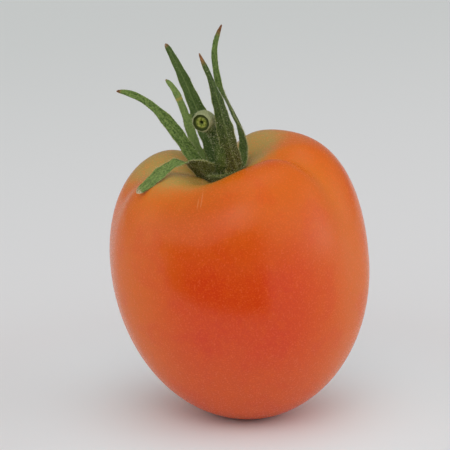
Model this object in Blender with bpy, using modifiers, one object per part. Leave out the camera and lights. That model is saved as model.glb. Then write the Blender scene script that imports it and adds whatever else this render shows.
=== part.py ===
"""A ripe tomato, as picked, standing on its blossom end, with its green calyx and the stub of its stem.

Run it with: blender --background --python part.py
Metres, +Z up. The origin is the middle of the flat spot that the tomato rests on, and -Y is its front.
"""

import math

import bmesh
import bpy
from mathutils import Matrix, Vector

MM = 0.001

# The fruit: an egg shape round an upright axis, fuller at its shoulders than an ellipsoid.
HALF_WIDTH = 30.4 * MM
HALF_DEPTH = 29.5 * MM
EQUATOR_HEIGHT = 37.3 * MM
SHOULDER_RISE = 30.4 * MM
SHOULDER_FULLNESS = 2.7
RIGHT_SHOULDER_FULLNESS = 0.3
FRUIT_SEGMENTS = 72
FRUIT_RINGS = 46

# It stands on a small flat spot: the round bottom is cut this far above its lowest point.
FLAT_SPOT_CUT = 0.6 * MM

# Its axis drifts to the left as it rises, by these amounts at the reference height.
DRIFT_HEIGHT = 60 * MM
DRIFT = (-3.4 * MM, 0.7 * MM, -1.4 * MM)

# One side of the shoulders stands higher than the other.
SHOULDER_TILT = 2.5 * MM
SHOULDER_TILT_AZIMUTH = math.radians(24)

# The hollow at the stem end. Its floor slopes down to the front and to the left.
SEAT = Vector((-5.0, 0.0, 57.6)) * MM
HOLLOW_RADIUS = 12.8 * MM
HOLLOW_DEPTH = EQUATOR_HEIGHT + SHOULDER_RISE - SEAT.z
FLOOR_SLOPE = Vector((0.19, 0.18, 0.0))
FLOOR_RADIUS = 12 * MM

# The grooves that run out of the hollow between the lobes: azimuth, half width, depth, and how far from the stem
# end, as an angle at the middle of the fruit, they are deepest.
GROOVES = (
    (-29, 14, 1.9 * MM, 33),
    (-115, 29, 2.4 * MM, 23),
    (-172, 16, 1.5 * MM, 40),
    (105, 25, 5.6 * MM, 25),
)

# The calyx: a turned pad in the hollow, square to its floor, with six sepals rooted in its rim. The profile's
# points are (radius, height over the floor) in millimetres, from the pad's underside to its top.
CALYX_AXIS = Vector((-0.27, -0.21, 1.0)).normalized()
PAD_PROFILE = ((0.0, 0.4), (3.0, 1.05), (4.4, 1.75), (4.85, 2.4), (4.4, 3.1), (3.0, 3.4), (0.0, 3.4))
PAD_SEGMENTS = 28
SEPAL_ROOT_RADIUS = 3.9 * MM
SEPAL_ROOT_HEIGHT = 2.4 * MM
SEPAL_THICKNESS = 0.7 * MM
SEPAL_TIP_SHARPNESS = 10
SEPAL_LEAST_WIDTH = 0.6 * MM
SEPAL_STATIONS = 20
SEPAL_CUP = 0.14

# Each sepal is a blade along a Bezier curve. Its root's place follows from the azimuth; the two handles and the tip
# are offsets from the seat in millimetres (right, back, up). Its widths, in millimetres, and its rolls, the turns
# about its own line in degrees, are given at the root, at each quarter of the way, and at the tip.
SEPALS = {
    "front_left": dict(azimuth=-140, low=(-10.9, -6.0, 5.9), high=(-10.0, -12.2, 6.8), tip=(-20.3, -13.6, -1.2),
                       widths=(4.6, 3.2, 2.3, 2.7, 1.9), rolls=(20, 6, -38, -42, -40)),
    "left": dict(azimuth=-178, low=(-7.7, 0.5, 1.9), high=(-13.1, 1.5, 18.6), tip=(-25.3, 4.0, 18.8),
                 widths=(4.6, 3.0, 3.0, 1.8, 1.0), rolls=(0, -60, -72, -72, -66)),
    "back_left": dict(azimuth=144, low=(-8.0, 4.0, 2.8), high=(-8.6, 6.0, 16.7), tip=(-14.1, 8.0, 20.7),
                      widths=(4.4, 2.6, 2.2, 1.5, 1.0), rolls=(0, -35, -38, -38, -38)),
    "back": dict(azimuth=102, low=(-4.5, 5.0, 7.9), high=(-8.8, 7.5, 20.5), tip=(-14.1, 9.0, 29.0),
                 widths=(4.6, 4.0, 3.6, 2.3, 1.0), rolls=(0, 0, 0, 0, 0)),
    "front_right": dict(azimuth=-46, low=(0.3, -5.8, 10.3), high=(-1.6, -8.4, 21.6), tip=(-6.2, -4.4, 29.2),
                        widths=(4.6, 4.3, 3.5, 1.9, 1.0), rolls=(0, -25, -28, -16, -10)),
    "right": dict(azimuth=16, low=(7.3, 2.1, 7.7), high=(-6.9, 4.0, 22.1), tip=(-1.1, 5.0, 34.2),
                  widths=(4.4, 3.2, 2.6, 2.0, 1.0), rolls=(16, 12, 2, 50, 66)),
}

# The stem stub: a short stalk that stands in the pad's socket and bends to the front, with a swollen knuckle at
# its end. Its points are offsets from the seat in millimetres.
STEM_PATH = ((-0.46, -0.36, 1.7), (-1.3, -1.0, 5.0), (-1.9, -1.4, 8.2), (-3.2, -2.4, 11.0), (-4.8, -4.2, 13.0),
             (-6.0, -6.3, 14.1))
STEM_RADII = (1.55, 1.5, 1.6, 2.0, 2.45, 2.1)
STEM_POINTS_PER_SPAN = 4
SOCKET_RADIUS = 1.9 * MM
SOCKET_FLOOR = 1.4 * MM
SOCKET_CUTTER_LENGTH = 10 * MM

COLOURS = {
    "fruit": ((0.62, 0.075, 0.012, 1), 0.35),
    "calyx": ((0.07, 0.13, 0.03, 1), 0.7),
    "stem": ((0.10, 0.15, 0.04, 1), 0.75),
}


def clear_scene():
    for obj in list(bpy.data.objects):
        bpy.data.objects.remove(obj)


def new_collection(name):
    collection = bpy.data.collections.new(name)
    bpy.context.scene.collection.children.link(collection)
    return collection


def new_object(name, mesh, collection):
    obj = bpy.data.objects.new(name, mesh)
    collection.objects.link(obj)
    return obj


def paint(obj, name):
    colour, roughness = COLOURS[name]
    material = bpy.data.materials.new(name)
    material.use_nodes = True
    shader = material.node_tree.nodes["Principled BSDF"]
    shader.inputs["Base Color"].default_value = colour
    shader.inputs["Roughness"].default_value = roughness
    obj.data.materials.clear()
    obj.data.materials.append(material)


def angle_between(azimuth, other):
    return (azimuth - other + math.pi) % (2 * math.pi) - math.pi


def groove_depth(polar, azimuth):
    """How deep the grooves between the lobes are here: deepest on the shoulders, and gone below the equator."""
    depth = 0
    for middle, half_width, deepest, peak in GROOVES:
        across = angle_between(azimuth, math.radians(middle)) / math.radians(half_width)
        along = polar / math.radians(peak)
        depth += deepest * math.exp(-across ** 2) * (along * math.exp(1 - along)) ** 2
    return depth


def fruit_point(polar, azimuth):
    """A point of the fruit's skin: polar is 0 at the stem end and pi at the blossom end."""
    sine, cosine = math.sin(polar), math.cos(polar)
    fullness = 2 + (SHOULDER_FULLNESS - 2 + RIGHT_SHOULDER_FULLNESS * math.cos(azimuth)) * math.sqrt(max(cosine, 0))
    across = sine ** (2 / fullness)
    rise = abs(cosine) ** (2 / fullness) * (SHOULDER_RISE if cosine > 0 else -(EQUATOR_HEIGHT + FLAT_SPOT_CUT))
    groove = groove_depth(polar, azimuth)
    x = (HALF_WIDTH * across - groove * sine) * math.cos(azimuth)
    y = (HALF_DEPTH * across - groove * sine) * math.sin(azimuth)
    z = EQUATOR_HEIGHT + rise - groove * cosine
    height_share = min(max(rise / SHOULDER_RISE, 0), 1)
    out = math.hypot(x, y) / HALF_WIDTH
    z += SHOULDER_TILT * out * math.cos(azimuth - SHOULDER_TILT_AZIMUTH) * height_share ** 1.5
    level = max(z, 0) / DRIFT_HEIGHT
    x += sum(amount * level ** (power + 1) for power, amount in enumerate(DRIFT))
    from_seat = Vector((x - SEAT.x, y - SEAT.y, 0))
    hollow = HOLLOW_DEPTH * math.exp(-((from_seat.length / HOLLOW_RADIUS) ** 2))
    slope = from_seat.dot(FLOOR_SLOPE) * math.exp(-((from_seat.length / FLOOR_RADIUS) ** 2))
    z += (slope - hollow) * min(3 * height_share, 1)
    return Vector((x, y, z))


def make_fruit(collection):
    bm = bmesh.new()
    bmesh.ops.create_uvsphere(bm, u_segments=FRUIT_SEGMENTS, v_segments=FRUIT_RINGS, radius=1)
    for vert in bm.verts:
        polar = math.acos(max(-1, min(1, vert.co.z)))
        vert.co = fruit_point(polar, math.atan2(vert.co.y, vert.co.x))
    cut = bmesh.ops.bisect_plane(
        bm, geom=bm.verts[:] + bm.edges[:] + bm.faces[:], plane_co=(0, 0, 0), plane_no=(0, 0, -1), clear_outer=True
    )
    rim = [item for item in cut["geom_cut"] if isinstance(item, bmesh.types.BMEdge)]
    bmesh.ops.contextual_create(bm, geom=rim)
    bmesh.ops.recalc_face_normals(bm, faces=bm.faces[:])
    mesh = bpy.data.meshes.new("fruit")
    bm.to_mesh(mesh)
    bm.free()
    mesh.shade_smooth()
    fruit = new_object("fruit", mesh, collection)
    paint(fruit, "fruit")


def calyx_place():
    """The frame of the calyx: its origin on the hollow's floor, its +Z along the calyx's own axis."""
    return Matrix.Translation(SEAT) @ Vector((0, 0, 1)).rotation_difference(CALYX_AXIS).to_matrix().to_4x4()


def bezier(points, share):
    """The point and the direction of a cubic Bezier curve at this share of its way."""
    a, b, c, d = points
    rest = 1 - share
    place = a * rest ** 3 + 3 * b * share * rest ** 2 + 3 * c * share ** 2 * rest + d * share ** 3
    direction = 3 * rest ** 2 * (b - a) + 6 * share * rest * (c - b) + 3 * share ** 2 * (d - c)
    return place, direction.normalized()


def catmull_rom(values, span, share):
    """A smooth curve through the values, read between values[span] and values[span + 1]."""
    last = len(values) - 1
    a, b, c, d = (values[min(max(span + offset, 0), last)] for offset in (-1, 0, 1, 2))
    return 0.5 * (
        2 * b + (c - a) * share + (2 * a - 5 * b + 4 * c - d) * share ** 2 + (3 * b - a - 3 * c + d) * share ** 3
    )


def read_profile(values, share):
    """The value of an evenly spaced profile at this share of the way."""
    step = share * (len(values) - 1)
    span = min(int(step), len(values) - 2)
    return catmull_rom(values, span, step - span)


def sepal_width(share, widths):
    """The blade's width, which closes in a blunt point over the last of its length."""
    closing = math.sqrt(1 - share ** SEPAL_TIP_SHARPNESS)
    return max(read_profile(widths, share) * closing * MM, SEPAL_LEAST_WIDTH)


def make_sepal(name, azimuth, low, high, tip, widths, rolls, collection):
    """An open sheet along the sepal's line, five points across, which Solidify makes a blade."""
    outward = Vector((math.cos(math.radians(azimuth)), math.sin(math.radians(azimuth)), 0))
    root = calyx_place() @ (outward * SEPAL_ROOT_RADIUS + Vector((0, 0, SEPAL_ROOT_HEIGHT)))
    line = [root] + [SEAT + Vector(offset) * MM for offset in (low, high, tip)]
    sideways = calyx_place().to_3x3() @ Vector((0, 0, 1)).cross(outward)
    bm = bmesh.new()
    rows = []
    for station in range(SEPAL_STATIONS + 1):
        share = station / SEPAL_STATIONS
        place, along = bezier(line, share)
        across = (sideways - along * sideways.dot(along)).normalized()
        across = Matrix.Rotation(math.radians(read_profile(rolls, share)), 3, along) @ across
        inward = along.cross(across)
        half = sepal_width(share, widths) / 2
        cup = SEPAL_CUP * 2 * half
        row = [place + across * half * side + inward * cup * side ** 2 for side in (-1, -0.5, 0, 0.5, 1)]
        rows.append([bm.verts.new(co) for co in row])
    for near, far in zip(rows, rows[1:]):
        for i in range(len(near) - 1):
            bm.faces.new((near[i], near[i + 1], far[i + 1]))
            bm.faces.new((near[i], far[i + 1], far[i]))
    mesh = bpy.data.meshes.new(name)
    bm.to_mesh(mesh)
    bm.free()
    sepal = new_object(name, mesh, collection)
    solidify = sepal.modifiers.new("Thickness", "SOLIDIFY")
    solidify.thickness = SEPAL_THICKNESS
    solidify.offset = 0


def make_pad(collection):
    """The flat round base that the sepals grow from, turned from its profile."""
    bm = bmesh.new()
    verts = [bm.verts.new((radius * MM, 0, height * MM)) for radius, height in PAD_PROFILE]
    edges = [bm.edges.new(pair) for pair in zip(verts, verts[1:])]
    bmesh.ops.spin(
        bm, geom=verts + edges, axis=(0, 0, 1), cent=(0, 0, 0), angle=2 * math.pi, steps=PAD_SEGMENTS, use_merge=True
    )
    bmesh.ops.remove_doubles(bm, verts=bm.verts[:], dist=0.01 * MM)
    bmesh.ops.transform(bm, matrix=calyx_place(), verts=bm.verts[:])
    bmesh.ops.recalc_face_normals(bm, faces=bm.faces[:])
    mesh = bpy.data.meshes.new("calyx")
    bm.to_mesh(mesh)
    bm.free()
    return new_object("calyx", mesh, collection)


def make_socket_cutter(collection):
    """A round peg that cuts the hole which the stem stands in."""
    bm = bmesh.new()
    bmesh.ops.create_cone(
        bm, cap_ends=True, segments=20, radius1=SOCKET_RADIUS, radius2=SOCKET_RADIUS, depth=SOCKET_CUTTER_LENGTH,
        matrix=calyx_place() @ Matrix.Translation((0, 0, SOCKET_FLOOR + SOCKET_CUTTER_LENGTH / 2)),
    )
    mesh = bpy.data.meshes.new("socket_cutter")
    bm.to_mesh(mesh)
    bm.free()
    cutter = new_object("socket_cutter", mesh, collection)
    cutter.hide_render = True
    cutter.display_type = "WIRE"
    return cutter


def apply_modifiers(obj):
    graph = bpy.context.evaluated_depsgraph_get()
    mesh = bpy.data.meshes.new_from_object(obj.evaluated_get(graph))
    obj.modifiers.clear()
    obj.data = mesh


def make_calyx(collection, cutters):
    calyx = make_pad(collection)
    blades = new_collection("sepals")
    for name, shape in SEPALS.items():
        make_sepal(name, **shape, collection=blades)
    union = calyx.modifiers.new("Sepals", "BOOLEAN")
    union.operation = "UNION"
    union.operand_type = "COLLECTION"
    union.collection = blades
    union.solver = "EXACT"
    bpy.context.view_layer.update()
    apply_modifiers(calyx)
    for blade in list(blades.objects):
        bpy.data.objects.remove(blade)
    bpy.data.collections.remove(blades)
    socket = calyx.modifiers.new("Socket", "BOOLEAN")
    socket.operation = "DIFFERENCE"
    socket.object = make_socket_cutter(cutters)
    socket.solver = "EXACT"
    paint(calyx, "calyx")


def make_stem(collection):
    """A curve object along the stalk's path, thicker at its knuckle."""
    path = [SEAT + Vector(offset) * MM for offset in STEM_PATH]
    points = []
    for span in range(len(path) - 1):
        for step in range(STEM_POINTS_PER_SPAN):
            share = step / STEM_POINTS_PER_SPAN
            points.append((catmull_rom(path, span, share), catmull_rom(STEM_RADII, span, share)))
    points.append((path[-1], STEM_RADII[-1]))
    data = bpy.data.curves.new("stem", "CURVE")
    data.dimensions = "3D"
    data.bevel_depth = MM
    data.bevel_resolution = 4
    data.use_fill_caps = True
    spline = data.splines.new("POLY")
    spline.points.add(len(points) - 1)
    for point, (place, radius) in zip(spline.points, points):
        point.co = (*place, 1)
        point.radius = radius
    stem = bpy.data.objects.new("stem", data)
    collection.objects.link(stem)
    paint(stem, "stem")


def main():
    clear_scene()
    tomato = new_collection("tomato")
    cutters = new_collection("cutters")
    make_fruit(tomato)
    make_calyx(tomato, cutters)
    make_stem(tomato)


main()
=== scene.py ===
import math

import bpy
import numpy as np
from mathutils import Matrix, Vector
from mathutils.kdtree import KDTree


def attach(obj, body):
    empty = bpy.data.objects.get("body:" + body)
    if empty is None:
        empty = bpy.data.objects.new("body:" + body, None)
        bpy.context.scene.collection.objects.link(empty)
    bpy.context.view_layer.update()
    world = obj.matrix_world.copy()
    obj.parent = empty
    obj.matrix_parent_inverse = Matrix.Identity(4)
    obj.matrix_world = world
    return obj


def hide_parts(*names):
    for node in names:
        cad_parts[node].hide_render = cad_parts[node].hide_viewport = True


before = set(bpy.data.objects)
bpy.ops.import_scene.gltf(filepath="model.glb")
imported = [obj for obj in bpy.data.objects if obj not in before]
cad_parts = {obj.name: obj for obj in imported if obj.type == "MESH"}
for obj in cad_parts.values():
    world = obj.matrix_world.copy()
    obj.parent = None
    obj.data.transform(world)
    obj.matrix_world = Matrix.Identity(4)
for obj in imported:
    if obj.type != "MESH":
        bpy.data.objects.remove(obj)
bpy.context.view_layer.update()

MM = 0.001
SEED = 11

# The fruit: the form of the model's source on a finer grid, with a sharper crease at the right front.
HALF_WIDTH = 30.38 * MM
HALF_DEPTH = 29.48 * MM
EQUATOR_HEIGHT = 37.3 * MM
SHOULDER_RISE = 30.4 * MM
SHOULDER_FULLNESS = 2.7
RIGHT_SHOULDER_FULLNESS = 0.3
FLAT_SPOT_CUT = 0.6 * MM
DRIFT_HEIGHT = 60 * MM
DRIFT = (-3.4 * MM, 0.7 * MM, -1.4 * MM)
SHOULDER_TILT = 2.5 * MM
SHOULDER_TILT_AZIMUTH = math.radians(24)
SEAT = Vector((-5.0, 0.0, 57.6)) * MM
HOLLOW_RADIUS = 12.8 * MM
HOLLOW_DEPTH = EQUATOR_HEIGHT + SHOULDER_RISE - SEAT.z
FLOOR_SLOPE = (0.19, 0.18)
FLOOR_RADIUS = 12 * MM
# Each groove: its azimuth and half width in degrees, its depth, and the polar angle where it is deepest.
GROOVES = (
    (-29, 12, 2.3 * MM, 33),
    (-115, 29, 2.4 * MM, 23),
    (-172, 16, 1.5 * MM, 40),
    (105, 25, 5.6 * MM, 25),
)
# Grooves that the skin's colour follows, each with its share of the groove's half width: an amber tint along
# the crease, and painted shade down the valley.
TINTED_AND_SHADED_GROOVES = (("crease", GROOVES[0], 0.8), ("valley", GROOVES[1], 0.75))
FRUIT_SEGMENTS = 288
FRUIT_RINGS = 200

# The calyx: blades along Bezier curves, rooted round a base in the hollow. Bare lengths are in millimetres.
CALYX_AXIS = Vector((-0.27, -0.21, 1.0)).normalized()
# The base's profile, as radius and height in millimetres from its foot's middle to its top's.
BASE_PROFILE = (
    (0.0, 0.1), (2.5, 0.3), (4.3, 0.9), (4.75, 1.4), (4.6, 1.9), (4.0, 2.1), (3.0, 1.9), (0.0, 1.6),
)
BASE_SEGMENTS = 64
BASE_RIM_ROW = 4
BASE_BULGE = 0.27
BASE_BULGE_AZIMUTH = math.radians(-128)
BASE_BULGE_SPREAD = math.radians(40)
ROOT_RADIUS = 4.1
ROOT_HEIGHT = 1.3
BLADE_THICKNESS = 0.42
EDGE_THICKNESS_SHARE = 0.35
CUP_SHARE = 0.30
CUP_FADE = 0.6
RUFFLE_DEPTH = 0.16
RUFFLE_TURNS = 26
RIB_HEIGHT = 0.32
RIB_SPREAD = 0.16
FURROW_DEPTH = 0.12
FURROW_SPREAD = 0.14
# Two waves of the blade's width, each as its share of the width and how fast it runs along the blade.
COARSE_WAVE = (0.05, 21)
FINE_WAVE = (0.04, 47)
BLADE_FACTS = ("along", "across", "inner", "brown", "band", "pale", "shade")
BAND_HALF_LENGTH = 0.012
LEAST_WIDTH = 0.3
TIP_SHARPNESS = 22
STATIONS = 90
ACROSS = 14
REMESH_VOXEL = 0.13 * MM
# Each sepal: its root's azimuth; its curve's three other points, from the seat in millimetres; its widths
# and its rolls, in degrees, from root to tip; and its dry tip's share, the tip's paleness, its band's place
# and its shade, which paints shade on the whole blade above 0 and paints light on it below 0.
SEPALS = {
    "front_left": dict(azimuth=-140, low=(-11.6, -6.2, 8.6), high=(-13.3, -11.6, 3.6),
                       tip=(-20.3, -13.2, -1.0), widths=(6.2, 4.0, 2.35, 2.75, 2.0),
                       rolls=(42, 18, -38, -44, -42), brown=0.03, pale=1, shade=-0.1),
    "left": dict(azimuth=-178, low=(-7.4, 0.5, 0.8), high=(-13.4, 1.5, 18.8), tip=(-25.3, 4.0, 18.8),
                 widths=(5.0, 3.1, 3.1, 1.9, 1.5), rolls=(0, -60, -72, -72, -66), brown=0.02),
    "back_left": dict(azimuth=144, low=(-7.7, 4.0, 1.6), high=(-8.8, 6.0, 17.1), tip=(-14.1, 8.0, 20.7),
                      widths=(4.8, 2.7, 2.2, 1.7, 1.4), rolls=(0, -35, -38, -38, -38), brown=0.012, pale=0.5,
                      band=0.76, shade=-0.35),
    "back": dict(azimuth=102, low=(-4.5, 5.0, 7.4), high=(-8.6, 7.5, 20.0), tip=(-14.1, 9.0, 29.0),
                 widths=(5.0, 4.1, 3.7, 2.4, 1.7), rolls=(0, 0, 0, 0, 0), brown=0.018, pale=0.3, shade=0.75),
    "front_right": dict(azimuth=-46, low=(-0.9, -5.8, 12.4), high=(-0.7, -8.4, 18.9), tip=(-6.2, -4.4, 29.4),
                        widths=(5.2, 4.2, 3.4, 1.9, 1.1), rolls=(0, -25, -28, -14, -8), brown=0.05),
    "right": dict(azimuth=16, low=(8.2, 2.1, 11.6), high=(-7.5, 4.0, 19.0), tip=(-1.1, 5.0, 34.2),
                  widths=(4.8, 3.2, 2.5, 1.75, 1.7), rolls=(16, 12, 2, 50, 12), brown=0.035, shade=0.15),
}

# The stem stub, from the base to its broken end, as offsets from the seat in millimetres.
STEM_PATH = (
    (-0.4, -1.6, 0.6), (-0.9, -3.4, 3.8), (-1.5, -3.8, 7.5), (-2.6, -3.3, 10.6), (-4.7, -3.9, 13.8),
    (-5.7, -6.4, 13.7),
)
STEM_RADII = (2.3, 1.8, 1.55, 1.65, 2.15, 2.15)
# The broken end's rings, each as its share of the radius and its rise in millimetres.
STEM_FACE = (
    (0.93, 0.10), (0.86, 0.08), (0.80, -0.10), (0.70, -0.16), (0.52, -0.08), (0.40, -0.02), (0.26, -0.10),
    (0.16, -0.45), (0.08, -0.75),
)
# What the bark says where the broken end gives its share of the radius.
BARK_OUT = 1.2
STEM_SIDES = 48
STEM_RINGS = 90

# The hairs: how many, their size in metres, and which places carry more of them.
SEPAL_HAIRS = 5200
STEM_HAIRS = 900
HAIR_LENGTH = 0.42 * MM
HAIR_LENGTH_RANGE = (0.5, 1.4)
HAIR_RADIUS = 0.026 * MM
HAIR_STRAY = 0.45
HAIR_FACE_WEIGHT = 0.12
HAIR_BACK_WEIGHT = 0.5
HAIR_EDGE_WEIGHT = 2.4

# The skin: its linear colours, and the scales of its mottling, in cells to the metre.
SKIN_RED = (0.69, 0.037, 0.001, 1.0)
SKIN_RED_ORANGE = (0.70, 0.049, 0.0, 1.0)
SKIN_LOW = (0.70, 0.098, 0.001, 1.0)
# Painted sheen: a lighter orange for the left and right flanks, standing in for the tent's reflection there.
SKIN_FLANK_SHEEN = (0.76, 0.152, 0.0, 1.0)
SKIN_ORANGE = (0.70, 0.130, 0.006, 1.0)
# Painted shade: a deeper red for the valley at the front left.
SKIN_VALLEY_SHADE = (0.50, 0.080, 0.0, 1.0)
SKIN_AMBER = (0.75, 0.220, 0.022, 1.0)
SKIN_OLIVE = (0.43, 0.325, 0.086, 1.0)
SKIN_FLECK = (0.92, 0.150, 0.002, 1.0)
SKIN_DOT = (0.90, 0.450, 0.160, 1.0)
SKIN_SCAR = (0.90, 0.420, 0.200, 1.0)
BLOTCH_SCALE = 125
FINE_GRAIN_SCALE = 2800
COARSE_GRAIN_SCALE = 700
DOT_SCALE = 520

# Thin slanting scars on the front, each as its shift in x and its lower and upper ends, in metres.
SCARS = ((0.0219, 0.0553, 0.0588), (0.0226, 0.0550, 0.0576))
SCAR_SLANT = -0.2
SCAR_STRENGTH = 0.3

# The middles of the olive area round the stem end, in metres.
OLIVE_MIDDLES = (
    (-0.0136, -0.0052, 0.0592),
    (-0.0172, 0.0030, 0.0590),
    (-0.0170, 0.0110, 0.0590),
    (-0.0020, 0.0070, 0.0610),
)

# The colours of leaf, hairs, bark, broken end and paper, as display values; pairs are dark and light.
LEAF_INNER = ((58, 86, 32), (126, 150, 76))
LEAF_OUTER = ((40, 60, 20), (74, 94, 42))
LEAF_ROOT = ((40, 46, 10), (86, 92, 34))
LEAF_DRY = ((92, 44, 20), (160, 108, 62))
LEAF_PALE_TIP = ((150, 128, 86), (218, 206, 174))
# Painted shade and painted light, mixed into whole blades by their shade values.
LEAF_SHADED = (56, 78, 30)
LEAF_SUNNY = (144, 166, 96)
# The paler edge and midrib: partly the blade's own colour, partly painted highlight.
LEAF_EDGE = (156, 164, 92)
LEAF_MIDRIB = (134, 152, 88)
LEAF_BAND = (186, 158, 78)
HAIR_SPECK = (160, 170, 112)
HAIRS = ((186, 188, 140), (222, 220, 188))
BARK = ((36, 60, 16), (76, 98, 38))
BARK_AT_HEAD = (162, 166, 122)
CORE = ((100, 118, 28), (170, 176, 86))
CORE_RING = (52, 64, 12)
CORE_HOLE = (34, 50, 6)
CORE_RIM = (162, 168, 122)
PAPER = (230, 230, 231)
# Painted light round the fruit's foot: lighter against its shadow, cooler against its red bounce.
PAPER_FOOT_PAINTED_LIGHT = (240, 252, 255)
# Painted shade on the paper far behind and to the left.
PAPER_FAR_PAINTED_SHADE = (213, 216, 215)

# The camera and the room.
CAMERA_TARGET = Vector((-5.3, 0.0, 45.6)) * MM
CAMERA_DISTANCE = 0.6
CAMERA_ELEVATION = math.radians(15)
CAMERA_SENSOR = 36.0
CAMERA_LENS = 207.2
FLOOR_SIZE = 6.0

# The light tent: a nearly even part, and soft lobes given as (azimuth, elevation, sharpness, strength).
TENT_FRONT = 0.33
TENT_BACK = 0.26
TENT_LOBES = (
    (-130, 36, 14, 0.62),
    (-95, 45, 26, 2.15),
    (-50, 34, 20, 0.74),
    (0, 88, 10, 1.09),
    (-5, 18, 9, 1.38),
    (186, 20, 9, 0.66),
)
# What the gloss alone sees low down in front: a dark card on the table, and the tent's opening above it.
CARD_CORNERS = ((-1.5, -0.9), (0.36, -0.9), (0.035, -0.09), (-0.16, -0.09))
CARD_LIFT = 0.001
OPENING_TOP_LEFT = 0.19
OPENING_TOP_RIGHT = 0.43


def clamp01(value):
    return np.clip(value, 0, 1)


def smooth(low, high, value):
    share = clamp01((value - low) / (high - low))
    return share * share * (3 - 2 * share)


def mesh_object(name, verts, faces, smooth_shading=True):
    mesh = bpy.data.meshes.new(name)
    mesh.from_pydata([tuple(v) for v in verts], [], [tuple(f) for f in faces])
    mesh.update()
    if smooth_shading:
        mesh.shade_smooth()
    obj = bpy.data.objects.new(name, mesh)
    bpy.context.scene.collection.objects.link(obj)
    return obj


def grid_faces(rows, columns, closed=False):
    """Quads over a grid of rows by columns; closed joins the last column to the first."""
    faces = []
    for i in range(rows - 1):
        for j in range(columns if closed else columns - 1):
            k = (j + 1) % columns
            faces.append((i * columns + j, i * columns + k, (i + 1) * columns + k, (i + 1) * columns + j))
    return faces


def wrap_angle(value):
    return (value + math.pi) % (2 * math.pi) - math.pi


def groove_depth(polar, azimuth):
    """How deep the grooves between the lobes are: deepest on the shoulders, and gone below the equator."""
    groove = 0
    for middle, half_width, deepest, peak in GROOVES:
        beside = wrap_angle(azimuth - math.radians(middle)) / math.radians(half_width)
        along = polar / math.radians(peak)
        groove = groove + deepest * np.exp(-beside ** 2) * (along * np.exp(1 - along)) ** 2
    return groove


def fruit_points(polar, azimuth):
    """The fruit's skin, for arrays of angles: polar is 0 at the stem end and pi at the blossom end."""
    sine, cosine = np.sin(polar), np.cos(polar)
    upper = np.sqrt(clamp01(cosine))
    fullness = 2 + (SHOULDER_FULLNESS - 2 + RIGHT_SHOULDER_FULLNESS * np.cos(azimuth)) * upper
    across = np.abs(sine) ** (2 / fullness)
    height = np.where(cosine > 0, SHOULDER_RISE, EQUATOR_HEIGHT + FLAT_SPOT_CUT)
    rise = np.sign(cosine) * np.abs(cosine) ** (2 / fullness) * height
    groove = groove_depth(polar, azimuth)
    x = (HALF_WIDTH * across - groove * sine) * np.cos(azimuth)
    y = (HALF_DEPTH * across - groove * sine) * np.sin(azimuth)
    z = EQUATOR_HEIGHT + rise - groove * cosine
    share = clamp01(rise / SHOULDER_RISE)
    out = np.hypot(x, y) / HALF_WIDTH
    z = z + SHOULDER_TILT * out * np.cos(azimuth - SHOULDER_TILT_AZIMUTH) * share ** 1.5
    level = np.maximum(z, 0) / DRIFT_HEIGHT
    x = x + sum(amount * level ** (power + 1) for power, amount in enumerate(DRIFT))
    right, back = x - SEAT.x, y - SEAT.y
    away = np.hypot(right, back)
    hollow = HOLLOW_DEPTH * np.exp(-((away / HOLLOW_RADIUS) ** 2))
    slope = (right * FLOOR_SLOPE[0] + back * FLOOR_SLOPE[1]) * np.exp(-((away / FLOOR_RADIUS) ** 2))
    z = z + (slope - hollow) * clamp01(3 * share)
    return np.stack([x, y, np.maximum(z, 0)], -1)


def tint_and_shade_grooves(mesh, polar, azimuth):
    """Keeps on the skin's points how far each groove's colour reaches there: the crease's tint and the
    valley's painted shade.
    """
    for name, (middle, half_width, _, peak), spread in TINTED_AND_SHADED_GROOVES:
        beside = wrap_angle(azimuth - math.radians(middle)) / math.radians(half_width * spread)
        along = polar / math.radians(peak)
        depth = np.exp(-(beside ** 2)) * smooth(0, 1, along) * smooth(3.5, 1.6, along)
        add_attribute(mesh, name, np.append(depth.reshape(-1), [0.0, 0.0]))


def make_fruit():
    """The skin as a grid round the stem axis, closed by a point at each end."""
    polar = np.linspace(0, math.pi, FRUIT_RINGS + 1)[1:-1, None]
    azimuth = np.linspace(0, 2 * math.pi, FRUIT_SEGMENTS, endpoint=False)[None, :]
    body = fruit_points(polar + 0 * azimuth, azimuth + 0 * polar).reshape(-1, 3)
    ends = fruit_points(np.array([1e-6, math.pi]), np.zeros(2))
    verts = np.concatenate([body, ends])
    faces = [face[::-1] for face in grid_faces(FRUIT_RINGS - 1, FRUIT_SEGMENTS, closed=True)]
    top, bottom = len(body), len(body) + 1
    last = len(body) - FRUIT_SEGMENTS
    for j in range(FRUIT_SEGMENTS):
        k = (j + 1) % FRUIT_SEGMENTS
        faces.append((j, k, top))
        faces.append((last + k, last + j, bottom))
    fruit = mesh_object("tomato_skin", verts, faces)
    tint_and_shade_grooves(fruit.data, polar, azimuth)
    return fruit


def bezier(points, share):
    a, b, c, d = (np.array(p) for p in points)
    share = np.asarray(share)[:, None]
    rest = 1 - share
    place = a * rest ** 3 + 3 * b * share * rest ** 2 + 3 * c * share ** 2 * rest + d * share ** 3
    along = 3 * rest ** 2 * (b - a) + 6 * share * rest * (c - b) + 3 * share ** 2 * (d - c)
    return place, unit(along)


def catmull_rom(values, where):
    """A smooth curve through the values, read at each place, where 0 is the first value and 1 the second."""
    values = np.asarray(values, float)
    last = len(values) - 1
    span = np.minimum(where.astype(int), last - 1)
    share = (where - span).reshape((-1,) + (1,) * (values.ndim - 1))
    a, b, c, d = (values[np.clip(span + offset, 0, last)] for offset in (-1, 0, 1, 2))
    square = (2 * a - 5 * b + 4 * c - d) * share ** 2
    return 0.5 * (2 * b + (c - a) * share + square + (3 * b - a - 3 * c + d) * share ** 3)


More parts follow.
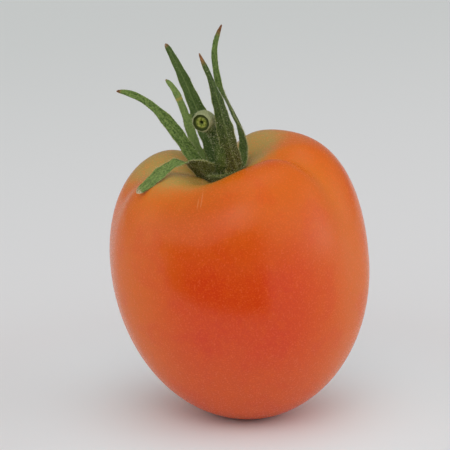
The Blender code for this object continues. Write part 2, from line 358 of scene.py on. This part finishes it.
def calyx_place():
    """The frame of the calyx: its origin on the hollow's floor, its +Z along the calyx's own axis."""
    return Matrix.Translation(SEAT) @ Vector((0, 0, 1)).rotation_difference(CALYX_AXIS).to_matrix().to_4x4()


def unit(vectors):
    return vectors / np.linalg.norm(vectors, axis=1, keepdims=True)


def turned(points, axis, angle):
    """The vectors turned about their own axes by their own angles."""
    cosine, sine = np.cos(angle)[:, None], np.sin(angle)[:, None]
    along = np.sum(points * axis, axis=1, keepdims=True)
    return points * cosine + np.cross(axis, points) * sine + axis * along * (1 - cosine)


def blade_line(azimuth, low, high, tip, rolls, share):
    """A sepal's curve: its points, and the directions across the blade and to its inner side."""
    outward = Vector((math.cos(math.radians(azimuth)), math.sin(math.radians(azimuth)), 0))
    place = calyx_place()
    root = place @ (outward * ROOT_RADIUS * MM + Vector((0, 0, ROOT_HEIGHT * MM)))
    sideways = np.array(place.to_3x3() @ Vector((0, 0, 1)).cross(outward))
    line = [root] + [SEAT + Vector(offset) * MM for offset in (low, high, tip)]
    middle, along = bezier(line, share)
    across = unit(sideways - along * (along @ sideways)[:, None])
    across = turned(across, along, np.radians(catmull_rom(rolls, share * (len(rolls) - 1))))
    return middle, across, np.cross(along, across)


def blade_half_widths(widths, share, phase):
    """Half the blade's width along it, with waved edges and a short blunt tip."""
    width = catmull_rom(widths, share * (len(widths) - 1)) * np.sqrt(1 - share ** TIP_SHARPNESS)
    wave = (
        1 + COARSE_WAVE[0] * np.sin(share * COARSE_WAVE[1] + phase)
        + FINE_WAVE[0] * np.sin(share * FINE_WAVE[1] + 2.3 * phase)
    )
    return np.maximum(width * wave, LEAST_WIDTH) * MM / 2


def blade_section(half, share, side, phase):
    """How far the blade's inner and outer faces stand off its sheet, by rows along and columns across."""
    s, t = side[None, :], share[:, None]
    cup = CUP_SHARE * half[:, None] * s ** 2 * (1 - CUP_FADE * t)
    ruffle = RUFFLE_DEPTH * MM * s ** 3 * np.sin(t * RUFFLE_TURNS + phase + s) * smooth(0.15, 0.4, t)
    bulk = EDGE_THICKNESS_SHARE + (1 - EDGE_THICKNESS_SHARE) * np.sqrt(1 - 0.92 * s ** 2)
    body = BLADE_THICKNESS * MM * bulk * (1 - 0.35 * t)
    rib = RIB_HEIGHT * MM * np.exp(-((s / RIB_SPREAD) ** 2)) * (1 - 0.8 * t)
    furrow = FURROW_DEPTH * MM * np.exp(-((s / FURROW_SPREAD) ** 2)) * (1 - 0.5 * t)
    return cup + ruffle + body / 2 - furrow, cup + ruffle - body / 2 - rib


def blade_facts(share, side, brown, band, pale, shade):
    """The values of BLADE_FACTS at each point of a blade, ring by ring."""
    columns = len(side)
    shares = np.repeat(share, 2 * columns)
    sides = np.tile(np.concatenate([side, side[::-1]]), len(share))
    inside = np.tile(np.concatenate([np.ones(columns), np.zeros(columns)]), len(share))
    browns = smooth(1 - 2 * brown, 1 - 0.6 * brown, shares)
    bands = np.exp(-(((shares - band) / BAND_HALF_LENGTH) ** 2))
    pales = pale + 0 * shares
    shades = shade + 0 * shares
    return np.stack([shares, sides, inside, browns, bands, pales, shades], 1)


def blade(azimuth, low, high, tip, widths, rolls, brown, phase, band=-1.0, pale=0.0, shade=0.0):
    """A closed sepal: its points, its faces, and the values of BLADE_FACTS at each point."""
    share = np.linspace(0, 1, STATIONS + 1)
    side = np.linspace(-1, 1, ACROSS + 1)
    middle, across, inward = blade_line(azimuth, low, high, tip, rolls, share)
    half = blade_half_widths(widths, share, phase)
    to_inner, to_outer = blade_section(half, share, side, phase)
    sheet = middle[:, None, :] + across[:, None, :] * (half[:, None] * side[None, :])[..., None]
    inner = sheet + inward[:, None, :] * to_inner[..., None]
    outer = sheet + inward[:, None, :] * to_outer[..., None]
    ring = np.concatenate([inner, outer[:, ::-1]], axis=1)
    around = 2 * len(side)
    faces = grid_faces(len(share), around, closed=True)
    faces.append(tuple(range(around))[::-1])
    faces.append(tuple(STATIONS * around + i for i in range(around)))
    return ring.reshape(-1, 3), faces, blade_facts(share, side, brown, band, pale, shade)


def turned_base():
    """The calyx's base, turned from its profile."""
    angles = np.linspace(0, 2 * math.pi, BASE_SEGMENTS, endpoint=False)
    bulge = 1 + BASE_BULGE * np.exp(-((wrap_angle(angles - BASE_BULGE_AZIMUTH) / BASE_BULGE_SPREAD) ** 2))
    rows = []
    for radius, height in BASE_PROFILE[1:-1]:
        out = radius * bulge
        rows.append(np.stack([out * np.cos(angles), out * np.sin(angles), height * bulge], 1))
    verts = np.concatenate(rows + [np.array([[0, 0, BASE_PROFILE[0][1]], [0, 0, BASE_PROFILE[-1][1]]])]) * MM
    faces = grid_faces(len(rows), BASE_SEGMENTS, closed=True)
    bottom, top, last = len(verts) - 2, len(verts) - 1, (len(rows) - 1) * BASE_SEGMENTS
    for j in range(BASE_SEGMENTS):
        k = (j + 1) % BASE_SEGMENTS
        faces.append((bottom, k, j))
        faces.append((top, last + j, last + k))
    place = np.array(calyx_place())
    return verts @ place[:3, :3].T + place[:3, 3], faces


def apply_modifiers(obj):
    graph = bpy.context.evaluated_depsgraph_get()
    mesh = bpy.data.meshes.new_from_object(obj.evaluated_get(graph))
    obj.modifiers.clear()
    obj.data = mesh
    mesh.shade_smooth()


def add_attribute(mesh, name, values):
    attribute = mesh.attributes.new(name, "FLOAT", "POINT")
    attribute.data.foreach_set("value", np.asarray(values, dtype=np.float32))


def mesh_points(mesh):
    points = np.empty(len(mesh.vertices) * 3)
    mesh.vertices.foreach_get("co", points)
    return points.reshape(-1, 3)


def melt(obj):
    """Joins what overlaps in the object into one closed, slightly smoothed surface."""
    remesh = obj.modifiers.new("Melt", "REMESH")
    remesh.mode = "VOXEL"
    remesh.voxel_size = REMESH_VOXEL
    relax = obj.modifiers.new("Relax", "SMOOTH")
    relax.factor = 0.5
    relax.iterations = 3
    apply_modifiers(obj)


def base_facts(count):
    """The values of BLADE_FACTS on the base, whose rim takes the pale edge colour, partly painted highlight,
    and whose top takes painted shade.
    """
    base = {name: np.zeros(count) for name in BLADE_FACTS}
    base["across"][:] = 0.5
    # The rim takes the edge colour, partly pale and partly painted highlight.
    base["across"][BASE_RIM_ROW * BASE_SEGMENTS:(BASE_RIM_ROW + 1) * BASE_SEGMENTS] = 0.9
    # Painted shade on the base's top.
    base["shade"][(BASE_RIM_ROW + 1) * BASE_SEGMENTS:] = 1.0
    return np.stack(list(base.values()), 1)


def carry_facts(mesh, source, facts):
    """Gives each point of the mesh the facts of the source point nearest to it."""
    tree = KDTree(len(source))
    for index, point in enumerate(source):
        tree.insert(point, index)
    tree.balance()
    near = [tree.find(point)[1] for point in mesh_points(mesh)]
    for column, name in enumerate(BLADE_FACTS):
        add_attribute(mesh, name, facts[near, column])


def make_calyx():
    """Six blades and their base, melted together, with what the colours need kept on the points."""
    verts, faces, facts = [], [], []
    count = 0
    for index, shape in enumerate(SEPALS.values()):
        points, quads, rows = blade(**shape, phase=1.7 * index)
        verts.append(points)
        faces += [tuple(i + count for i in quad) for quad in quads]
        facts.append(rows)
        count += len(points)
    points, quads = turned_base()
    verts.append(points)
    faces += [tuple(i + count for i in quad) for quad in quads]
    facts.append(base_facts(len(points)))
    source = np.concatenate(verts)
    calyx = mesh_object("sepals", source, faces)
    melt(calyx)
    carry_facts(calyx.data, source, np.concatenate(facts))
    return calyx


def make_stem():
    """A swept stalk whose last rings turn in over the broken end, with a ring and a hole in its face."""
    where = np.linspace(0, len(STEM_PATH) - 1, STEM_RINGS)
    middle = np.array(SEAT) + catmull_rom(STEM_PATH, where) * MM
    radius = catmull_rom(STEM_RADII, where) * MM
    along = unit(np.gradient(middle, axis=0))
    side = unit(np.cross(along, [0.0, 1.0, 0.0]))
    other = np.cross(side, along)
    angle = np.linspace(0, 2 * math.pi, STEM_SIDES, endpoint=False)
    rings, facts = [], []
    for i in range(STEM_RINGS):
        lumps = 1 + 0.03 * np.sin(3 * angle + 4 * where[i]) + 0.02 * np.sin(5 * angle - 7 * where[i])
        spoke = side[i] * np.cos(angle)[:, None] + other[i] * np.sin(angle)[:, None]
        rings.append(middle[i] + spoke * (radius[i] * lumps)[:, None])
        facts.append(np.stack([0 * angle + where[i] / (len(STEM_PATH) - 1), 0 * angle + BARK_OUT], 1))
    for out, rise in STEM_FACE:
        spoke = side[-1] * np.cos(angle)[:, None] + other[-1] * np.sin(angle)[:, None]
        rough = 1 + 0.03 * np.sin(9 * angle + 20 * out)
        rings.append(middle[-1] + spoke * (radius[-1] * out * rough)[:, None] + along[-1] * rise * MM)
        facts.append(np.stack([0 * angle + 1, 0 * angle + out], 1))
    verts = np.concatenate(rings)
    faces = [face[::-1] for face in grid_faces(len(rings), STEM_SIDES, closed=True)]
    faces.append(tuple(range(STEM_SIDES)))
    faces.append(tuple(len(verts) - STEM_SIDES + i for i in range(STEM_SIDES))[::-1])
    stem = mesh_object("stem_stub", verts, faces)
    facts = np.concatenate(facts)
    add_attribute(stem.data, "along", facts[:, 0])
    add_attribute(stem.data, "out", facts[:, 1])
    return stem


def vertex_normals(mesh):
    normals = np.empty(len(mesh.vertices) * 3)
    mesh.vertex_normals.foreach_get("vector", normals)
    return normals.reshape(-1, 3)


def read_attribute(mesh, name):
    values = np.empty(len(mesh.vertices))
    mesh.attributes[name].data.foreach_get("value", values)
    return values


def hair_roots(mesh, weights, count, random):
    """Random points of the mesh, with the normals there, more of them where the weights are higher."""
    chosen = random.choice(len(weights), count, replace=False, p=weights / weights.sum())
    return mesh_points(mesh)[chosen], vertex_normals(mesh)[chosen]


def make_hairs(calyx, stem):
    """Short fine hairs as closed spikes: on the sepals, mostly at edges and backs, and round the stem."""
    random = np.random.default_rng(SEED)
    along, across, inner = (read_attribute(calyx.data, name) for name in ("along", "across", "inner"))
    edge = smooth(0.86, 0.97, np.abs(across))
    blades = HAIR_FACE_WEIGHT + HAIR_BACK_WEIGHT * (1 - inner) + HAIR_EDGE_WEIGHT * edge
    blades = blades * (0.25 + smooth(0.95, 0.1, along))
    stalk = np.where(read_attribute(stem.data, "out") > 1.1, 1.0, 0.0)
    parts = [
        hair_roots(calyx.data, blades, SEPAL_HAIRS, random),
        hair_roots(stem.data, stalk, STEM_HAIRS, random),
    ]
    roots, normals = (np.concatenate(rows) for rows in zip(*parts))
    heading = unit(normals + HAIR_STRAY * random.normal(size=normals.shape))
    length = HAIR_LENGTH * random.uniform(*HAIR_LENGTH_RANGE, (len(roots), 1))
    side = unit(np.cross(heading, random.normal(size=heading.shape)))
    other = np.cross(heading, side)
    start = roots - heading * HAIR_RADIUS
    corners = []
    for turn in (0, 2 * math.pi / 3, 4 * math.pi / 3):
        spoke = side * math.cos(turn) + other * math.sin(turn)
        corners.append(start + spoke * HAIR_RADIUS)
    verts = np.stack(corners + [roots + heading * length], axis=1).reshape(-1, 3)
    faces = []
    for k in range(0, len(verts), 4):
        faces += [(k, k + 2, k + 1), (k, k + 1, k + 3), (k + 1, k + 2, k + 3), (k + 2, k, k + 3)]
    return mesh_object("sepal_hairs", verts, faces, False)


class Nodes:
    """A short way to write a node tree: each call adds a node and returns its output."""

    def __init__(self, tree):
        self.tree = tree
        tree.nodes.clear()

    def add(self, kind, output=0, settings=None, **inputs):
        node = self.tree.nodes.new(kind)
        for name, value in (settings or {}).items():
            setattr(node, name, value)
        for name, value in inputs.items():
            key = int(name[1:]) if name[0] == "i" and name[1:].isdigit() else name.replace("_", " ")
            socket = node.inputs[key]
            if isinstance(value, bpy.types.NodeSocket):
                self.tree.links.new(value, socket)
            else:
                socket.default_value = value
        return node.outputs[output] if node.outputs else None

    def math(self, operation, a, b=0.0, c=0.0):
        return self.add("ShaderNodeMath", settings=dict(operation=operation), i0=a, i1=b, i2=c)

    def vector_math(self, operation, a, b=(0, 0, 0), output=0):
        return self.add("ShaderNodeVectorMath", output, dict(operation=operation), i0=a, i1=b)

    def ramp(self, value, low, high, start=0.0, end=1.0):
        return self.add(
            "ShaderNodeMapRange", settings=dict(interpolation_type="SMOOTHSTEP"),
            Value=value, From_Min=low, From_Max=high, To_Min=start, To_Max=end,
        )

    def mix(self, factor, a, b):
        return self.add("ShaderNodeMix", output=2, settings=dict(data_type="RGBA"), i0=factor, i6=a, i7=b)

    def mottle(self, factor, pair):
        """A mix of a pair of display colours."""
        return self.mix(factor, rgb(*pair[0]), rgb(*pair[1]))

    def noise(self, vector, scale, detail=3.0, roughness=0.55):
        return self.add("ShaderNodeTexNoise", Vector=vector, Scale=scale, Detail=detail, Roughness=roughness)

    def position(self):
        return self.add("ShaderNodeTexCoord", output=3)

    def split(self, vector):
        node = self.tree.nodes.new("ShaderNodeSeparateXYZ")
        self.tree.links.new(vector, node.inputs[0])
        return node.outputs

    def attribute(self, name):
        return self.add("ShaderNodeAttribute", output=2, settings=dict(attribute_name=name))

    def bump(self, height, strength, distance, normal=None):
        inputs = dict(Height=height, Strength=strength, Distance=distance)
        if normal is not None:
            inputs["Normal"] = normal
        return self.add("ShaderNodeBump", **inputs)


def rgb(red, green, blue):
    """A colour in display values of 0 to 255, as the shader's linear colour."""
    values = [channel / 255 for channel in (red, green, blue)]
    return tuple(v / 12.92 if v <= 0.04045 else ((v + 0.055) / 1.055) ** 2.4 for v in values) + (1.0,)


def new_material(name):
    material = bpy.data.materials.new(name)
    material.use_nodes = True
    return material, Nodes(material.node_tree)


def finish_material(nodes, **inputs):
    shader = nodes.add("ShaderNodeBsdfPrincipled", **inputs)
    nodes.add("ShaderNodeOutputMaterial", Surface=shader)


def olive_reach(n, place, patches):
    """How far a point is from the nearest middle of the olive area, unevenly."""
    reach = 1.0
    for middle in OLIVE_MIDDLES:
        reach = n.math("MINIMUM", reach, n.vector_math("DISTANCE", place, middle, output=1))
    return n.math("ADD", reach, n.math("MULTIPLY_ADD", patches, 0.008, -0.004))


def ripe_colour(n, place, height):
    """Red in the middle, orange above, painted sheen in lighter orange on the flanks, painted shade in the
    valley, amber and olive by the stem.
    """
    patches = n.noise(place, 110, 4)
    reach = olive_reach(n, place, patches)
    level = n.math("MULTIPLY_ADD", patches, 0.012, height)
    blotch = n.noise(place, BLOTCH_SCALE, 2)
    low = n.mix(n.ramp(blotch, 0.50, 0.66, 0.0, 0.7), SKIN_RED_ORANGE, SKIN_RED)
    low = n.mix(n.ramp(height, 0.010, 0.030, 0.6, 0.0), low, SKIN_LOW)
    # Painted sheen: lighter orange towards the left and right flanks, in place of the tent's reflection.
    flank_sheen = n.ramp(n.math("ABSOLUTE", n.math("ADD", n.split(place)[0], 0.0005)), 0.009, 0.029)
    low = n.mix(n.math("MULTIPLY", flank_sheen, 0.9), low, SKIN_FLANK_SHEEN)
    skin = n.mix(n.ramp(level, 0.042, 0.068), low, SKIN_ORANGE)
    skin = n.mix(n.math("MULTIPLY", n.ramp(blotch, 0.52, 0.66), 0.20), skin, SKIN_RED)
    # Painted shade down the valley at the front left.
    skin = n.mix(n.math("MULTIPLY", n.attribute("valley"), 0.9), skin, SKIN_VALLEY_SHADE)
    skin = n.mix(n.math("MULTIPLY", n.attribute("crease"), 0.36), skin, SKIN_AMBER)
    skin = n.mix(n.ramp(reach, 0.009, 0.0205, 0.66, 0.0), skin, SKIN_AMBER)
    return n.mix(n.ramp(reach, 0.0065, 0.0145, 0.95, 0.0), skin, SKIN_OLIVE)


def flecked(n, place, fine, skin):
    """The skin's colour with its light grain and its scattered pale dots."""
    skin = n.mix(n.ramp(fine, 0.42, 0.62, 0.0, 0.22), skin, SKIN_FLECK)
    coarse = n.noise(place, COARSE_GRAIN_SCALE, 2)
    skin = n.mix(n.ramp(coarse, 0.45, 0.75, 0.0, 0.14), skin, SKIN_FLECK)
    dots = n.add("ShaderNodeTexVoronoi", settings=dict(feature="F1"), Vector=place, Scale=DOT_SCALE)
    return n.mix(n.ramp(dots, 0.03, 0.07, 0.14, 0.0), skin, SKIN_DOT)


def scarred(n, place, height, skin):
    """The skin's colour with its thin pale scars on the front."""
    for shift, low_end, high_end in SCARS:
        across = n.math("ADD", n.split(place)[0], shift)
        beside = n.math("ABSOLUTE", n.math("MULTIPLY_ADD", height, SCAR_SLANT, across))
        above = n.ramp(height, low_end, low_end + 0.001)
        below = n.ramp(height, high_end - 0.001, high_end, 1.0, 0.0)
        line = n.ramp(beside, 0.00003, 0.00014, SCAR_STRENGTH, 0.0)
        line = n.math("MULTIPLY", line, n.math("MULTIPLY", above, below))
        line = n.math("MULTIPLY", line, n.ramp(n.split(place)[1], -0.004, -0.002, 1.0, 0.0))
        skin = n.mix(line, skin, SKIN_SCAR)
    return skin


def skin_material():
    """Ripe skin, finely mottled, and least glossy on the shoulders and where it turns away from the eye."""
    material, n = new_material("tomato_skin")
    place = n.position()
    height = n.split(place)[2]
    fine = n.noise(place, FINE_GRAIN_SCALE, 1)
    skin = flecked(n, place, fine, ripe_colour(n, place, height))
    skin = scarred(n, place, height, skin)
    bumps = n.bump(n.noise(place, 1700, 1), 0.16, 0.0002)
    bumps = n.bump(n.noise(place, 300, 2), 0.10, 0.0006, bumps)
    rough = n.ramp(fine, 0.3, 0.7, 0.16, 0.28)
    facing = n.add("ShaderNodeLayerWeight", output=1, Blend=0.5)
    matt = n.math("MAXIMUM", n.ramp(facing, 0.3, 0.8), n.ramp(height, 0.046, 0.057, 0.0, 0.75))
    finish_material(
        n, Base_Color=skin, Roughness=rough, Normal=bumps, IOR=1.47, Subsurface_Weight=0.12,
        Specular_IOR_Level=n.math("MULTIPLY_ADD", matt, -0.36, 0.5),
        Subsurface_Radius=(1.0, 0.3, 0.12), Subsurface_Scale=0.0025,
    )
    return material


def leaf_veins(n, place, across, along):
    """Streaks that run along the blade, mixed with small patches."""
    streaks = n.add(
        "ShaderNodeCombineXYZ", X=n.math("MULTIPLY", across, 4.0), Y=n.math("MULTIPLY", along, 9.0)
    )
    patches = n.math("MULTIPLY", n.noise(place, 2500, 3), 0.5)
    return n.math("MULTIPLY_ADD", n.noise(streaks, 1.6, 3), 0.5, patches)


def leaf_green(n, fact, light):
    """Green, darker outside and brown-green at the root, with painted shade where the shade value is above 0
    and painted light where it is below, and paler edges and midrib, partly painted highlight.
    """
    outside = n.mottle(light, LEAF_OUTER)
    outside = n.mix(n.ramp(fact["along"], 0.05, 0.34, 0.9, 0.0), outside, n.mottle(light, LEAF_ROOT))
    colour = n.mix(fact["inner"], outside, n.mottle(light, LEAF_INNER))
    # Painted shade on blades whose shade is above 0, painted light on those below 0.
    colour = n.mix(n.math("MAXIMUM", fact["shade"], 0.0), colour, rgb(*LEAF_SHADED))
    sunny = n.math("MAXIMUM", n.math("MULTIPLY", fact["shade"], -1.0), 0.0)
    colour = n.mix(sunny, colour, rgb(*LEAF_SUNNY))
    # Paler edges and midrib, partly the blade's own colour and partly painted highlight.
    edge = n.math("ABSOLUTE", fact["across"])
    colour = n.mix(n.ramp(edge, 0.84, 1.0, 0.0, 0.6), colour, rgb(*LEAF_EDGE))
    return n.mix(n.ramp(edge, 0.0, 0.16, 0.3, 0.0), colour, rgb(*LEAF_MIDRIB))


def sepal_material():
    """Leaf green with a straw-coloured band, dry tips and pale hairy specks."""
    material, n = new_material("sepal_green")
    place = n.position()
    fact = {name: n.attribute(name) for name in BLADE_FACTS}
    veins = leaf_veins(n, place, fact["across"], fact["along"])
    colour = leaf_green(n, fact, n.ramp(veins, 0.38, 0.62))
    colour = n.mix(n.math("MULTIPLY", fact["band"], 0.7), colour, rgb(*LEAF_BAND))
    dry = n.mottle(n.ramp(veins, 0.40, 0.60), LEAF_DRY)
    dry = n.mix(fact["pale"], dry, n.mottle(n.ramp(veins, 0.42, 0.58), LEAF_PALE_TIP))
    colour = n.mix(fact["brown"], colour, dry)
    speck = n.noise(place, 4600, 2)
    foot = n.ramp(fact["along"], 0.15, 0.5, 0.75, 0.34)
    hairy = n.math("MULTIPLY", n.ramp(fact["inner"], 0.0, 1.0, 1.0, 0.6), foot)
    colour = n.mix(n.math("MULTIPLY", n.ramp(speck, 0.56, 0.66), hairy), colour, rgb(*HAIR_SPECK))
    bumps = n.bump(speck, 0.6, 0.0002)
    finish_material(n, Base_Color=colour, Roughness=0.6, Normal=bumps, IOR=1.4, Specular_IOR_Level=0.3)
    return material


def stem_material():
    """Hairy green bark, and on the broken end a pale rim, a dark ring and a green core with a dark hole."""
    material, n = new_material("stem_green")
    place = n.position()
    along, out = n.attribute("along"), n.attribute("out")
    patches = n.noise(place, 700, 4)
    bark = n.mottle(n.ramp(patches, 0.3, 0.7), BARK)
    bark = n.mix(n.ramp(along, 0.62, 0.86, 0.0, 0.8), bark, rgb(*BARK_AT_HEAD))
    speck = n.noise(place, 4600, 2)
    bark = n.mix(n.ramp(speck, 0.56, 0.66, 0.0, 0.75), bark, rgb(*HAIR_SPECK))
    core = n.mottle(n.ramp(n.noise(place, 2200, 2), 0.35, 0.65), CORE)
    core = n.mix(n.ramp(out, 0.42, 0.72), core, rgb(*CORE_RING))
    core = n.mix(n.ramp(out, 0.08, 0.36), rgb(*CORE_HOLE), core)
    core = n.mix(n.ramp(out, 0.88, 0.94), core, rgb(*CORE_RIM))
    colour = n.mix(n.ramp(out, 0.94, 1.1), core, bark)
    bumps = n.bump(speck, 0.6, 0.0002)
    finish_material(n, Base_Color=colour, Roughness=0.6, Normal=bumps, IOR=1.4, Specular_IOR_Level=0.3)
    return material


def hair_material():
    material, n = new_material("sepal_hair")
    colour = n.mottle(n.noise(n.position(), 900, 2), HAIRS)
    finish_material(n, Base_Color=colour, Roughness=0.5, IOR=1.4)
    return material


def floor_material():
    """Pale paper with painted shade far behind and to the left, and painted light round the fruit's foot:
    lighter against its shadow, cooler against the red light it throws on the paper.
    """
    material, n = new_material("studio_floor")
    place = n.position()
    far = n.math("MULTIPLY_ADD", n.split(place)[0], -0.5, n.split(place)[1])
    around = n.vector_math("LENGTH", place, output=1)
    # Painted light round the fruit's foot.
    colour = n.mottle(n.ramp(around, 0.015, 0.085), (PAPER_FOOT_PAINTED_LIGHT, PAPER))
    # Painted shade far behind and to the left.
    colour = n.mix(n.ramp(far, 0.05, 0.60), colour, rgb(*PAPER_FAR_PAINTED_SHADE))
    finish_material(n, Base_Color=colour, Roughness=0.8, IOR=1.3)
    return material


def make_floor():
    half = FLOOR_SIZE / 2
    corners = [(-half, -half, 0), (half, -half, 0), (half, half, 0), (-half, half, 0)]
    floor = mesh_object("floor", corners, [(0, 1, 2, 3)], False)
    floor.data.materials.append(floor_material())


def make_world():
    """A light tent with soft bright lobes. For gloss alone it is dark low down in front, round the camera."""
    world = bpy.data.worlds.new("tent")
    bpy.context.scene.world = world
    world.use_nodes = True
    n = Nodes(world.node_tree)
    direction = n.add("ShaderNodeTexCoord", output=0)
    x, y, z = n.split(direction)
    light = n.ramp(y, -0.1, 0.6, TENT_FRONT, TENT_BACK)
    for azimuth, elevation, sharpness, strength in TENT_LOBES:
        a, e = math.radians(azimuth), math.radians(elevation)
        middle = (math.cos(e) * math.cos(a), math.cos(e) * math.sin(a), math.sin(e))
        near = n.vector_math("DOT_PRODUCT", direction, middle, output=1)
        lobe = n.math("EXPONENT", n.math("MULTIPLY_ADD", near, float(sharpness), -float(sharpness)))
        light = n.math("MULTIPLY_ADD", lobe, strength, light)
    front = n.math("MULTIPLY", n.ramp(y, -0.44, -0.28, 1.0, 0.0), n.ramp(x, 0.20, 0.46, 1.0, 0.0))
    top = n.ramp(x, -0.50, -0.06, OPENING_TOP_LEFT, OPENING_TOP_RIGHT)
    below = n.ramp(n.math("SUBTRACT", z, top), -0.06, 0.06, 1.0, 0.0)
    gloss = n.add("ShaderNodeLightPath", output=3)
    opening = n.math("MULTIPLY", n.math("MULTIPLY", front, below), gloss)
    light = n.math("MULTIPLY", light, n.math("SUBTRACT", 1.0, opening))
    n.add("ShaderNodeOutputWorld", Surface=n.add("ShaderNodeBackground", Color=(1, 1, 1, 1), Strength=light))


def make_black_card():
    """A dark card on the table in front, which only the gloss on the skin sees."""
    corners = [(x, y, CARD_LIFT) for x, y in CARD_CORNERS]
    card = mesh_object("black_card", corners, [(0, 1, 2, 3)], False)
    material, n = new_material("black_card")
    finish_material(n, Base_Color=(0.001, 0.001, 0.001, 1), Roughness=1.0, IOR=1.0)
    card.data.materials.append(material)
    card.visible_camera = False
    card.visible_diffuse = False
    card.visible_shadow = False
    card.visible_transmission = False


def aim(obj, target):
    obj.rotation_euler = (Vector(target) - obj.location).to_track_quat("-Z", "Y").to_euler()


def make_camera():
    data = bpy.data.cameras.new("camera")
    data.sensor_width = CAMERA_SENSOR
    data.lens = CAMERA_LENS
    camera = bpy.data.objects.new("camera", data)
    bpy.context.scene.collection.objects.link(camera)
    away = Vector((0, -math.cos(CAMERA_ELEVATION), math.sin(CAMERA_ELEVATION)))
    camera.location = CAMERA_TARGET + away * CAMERA_DISTANCE
    aim(camera, CAMERA_TARGET)
    bpy.context.scene.camera = camera
    bpy.context.scene.view_settings.view_transform = "Standard"


def dress(piece, material, node=None):
    piece.data.materials.clear()
    piece.data.materials.append(material)
    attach(piece, "root")
    if node:
        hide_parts(node)


def main():
    make_camera()
    make_world()
    make_floor()
    make_black_card()
    dress(make_fruit(), skin_material(), "fruit")
    calyx, stem = make_calyx(), make_stem()
    dress(calyx, sepal_material(), "calyx")
    dress(stem, stem_material(), "stem")
    dress(make_hairs(calyx, stem), hair_material())


main()
